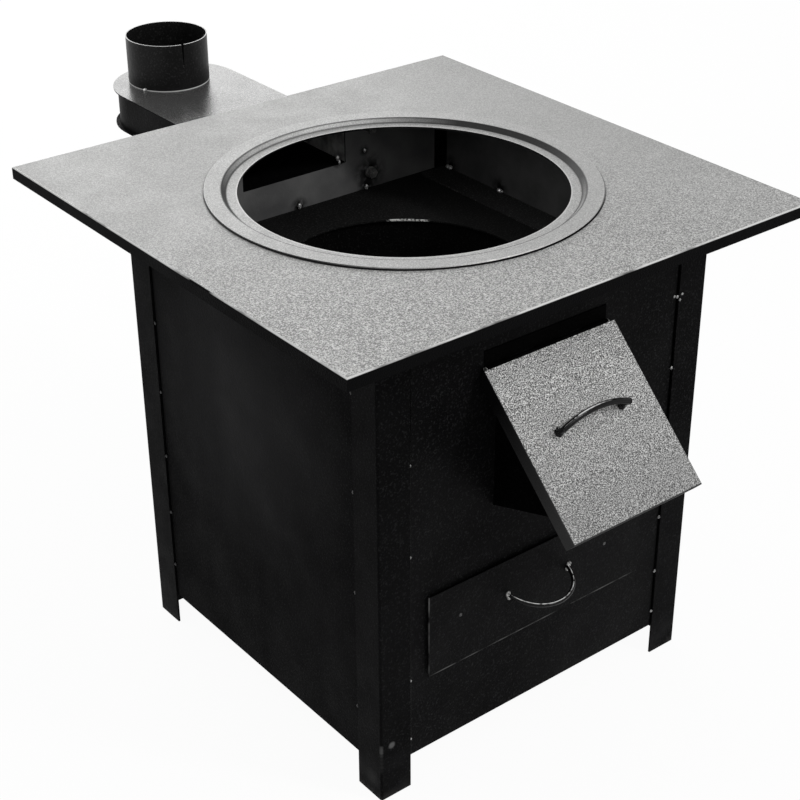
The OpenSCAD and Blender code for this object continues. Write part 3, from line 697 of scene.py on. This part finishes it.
# Beads round the collar's foot: (angle, how many drops side by side), and one
# drop that fell beside it.
bead_places = ((-157, 1), (2, 2), (85, 3), (130, 3))
fallen_drop = (-0.059, 0.4214, collar_lo[2] + 0.0002)
upright = Vector((0, 0, 1))
collar_foot = Vector(((collar_lo[0] + collar_hi[0]) / 2, (collar_lo[1] + collar_hi[1]) / 2,
                      collar_lo[2]))
collar_radius = (collar_hi[0] - collar_lo[0]) / 2
beads = bmesh.new()
for i, (angle, count) in enumerate(bead_places):
    for step in range(count):
        turned = math.radians(angle + 2.4 * (step - (count - 1) / 2))
        around = Vector((math.cos(turned), math.sin(turned), 0))
        drop(beads, collar_foot + around * (collar_radius + 0.0012) + upright * 0.0012,
             (around + upright).normalized(), size=0.0026, high=0.0022,
             along=upright.cross(around).normalized(), seed=3 * i + step)
drop(beads, fallen_drop, upright, size=0.003, high=0.001, seed=9)
collar_weld = weld_metal("collar_weld", grey(0.10), grey(0.7, 0.69))
piece_from(beads, "collar_weld_beads", collar_weld, "stove")


# ---------------------------------------------------------------------------
# FLOOR, LIGHT AND CAMERA
# A plain white floor that keeps the stove's shadow, soft lamps above it, and
# the camera at the photograph's viewing angle.

def shown_white(made, share, plain, white, output):
    """Shows white in a shader's place to the eye, to gloss and to glass, but not to the light."""
    path = node(made, "ShaderNodeLightPath")
    watched = either(made, path.outputs["Is Camera Ray"], path.outputs["Is Glossy Ray"])
    watched = either(made, watched, path.outputs["Is Transmission Ray"])
    mixed = node(made, "ShaderNodeMixShader")
    wire(made, both(made, watched, share), mixed.inputs[0])
    wire(made, plain.outputs[0], mixed.inputs[1])
    wire(made, white.outputs[0], mixed.inputs[2])
    wire(made, mixed.outputs[0], output)


floor_mesh = bmesh.new()
bmesh.ops.create_grid(floor_mesh, x_segments=2, y_segments=2, size=14.0)
floor_data = bpy.data.meshes.new("studio_floor")
floor_mesh.to_mesh(floor_data)
floor_mesh.free()
floor = bpy.data.objects.new("studio_floor", floor_data)
bpy.context.scene.collection.objects.link(floor)
paper, surface = shader("studio_white")
set_up(surface, Base_Color=(0.95, 0.95, 0.95, 1), Roughness=0.9, Specular_IOR_Level=0.1)
shown_white(paper, 0.95, surface, node(paper, "ShaderNodeEmission", Strength=1.0),
            paper.node_tree.nodes["Material Output"].inputs["Surface"])
floor_data.materials.append(paper)


def lamp(name, place, aim, wide, high, power):
    """A soft box that looks at a point."""
    data = bpy.data.lights.new(name, "AREA")
    data.shape = "RECTANGLE"
    data.size = wide
    data.size_y = high
    data.energy = power
    made = bpy.data.objects.new(name, data)
    made.location = place
    made.rotation_euler = (Vector(aim) - Vector(place)).to_track_quat("-Z", "Y").to_euler()
    bpy.context.scene.collection.objects.link(made)


lamp("key_box", (1.5, -3.0, 3.2), (0, -0.35, 0.5), wide=0.6, high=0.6, power=52)
lamp("back_box", (0.2, 3.4, 1.5), (0, 0, 0.6), wide=5.0, high=2.4, power=72)

world = bpy.data.worlds.new("studio")
bpy.context.scene.world = world
world.use_nodes = True
sky = world.node_tree.nodes["Background"]
set_up(sky, Color=(1, 1, 1, 1), Strength=0.55)
shown_white(world, 1.0, sky, node(world, "ShaderNodeBackground", Color=(1, 1, 1, 1), Strength=1.0),
            world.node_tree.nodes["World Output"].inputs["Surface"])

eye = bpy.data.cameras.new("camera")
eye.lens = 77.633
eye.sensor_width = 36
eye.shift_x = -0.05
eye.clip_end = 60
camera = bpy.data.objects.new("camera", eye)
camera.location = (-1.22367, -1.64617, 1.49415)
camera.rotation_euler = [math.radians(a) for a in (60.1869, -0.3852, -39.4617)]
bpy.context.scene.collection.objects.link(camera)
bpy.context.scene.camera = camera
bpy.context.scene.view_settings.view_transform = "Standard"
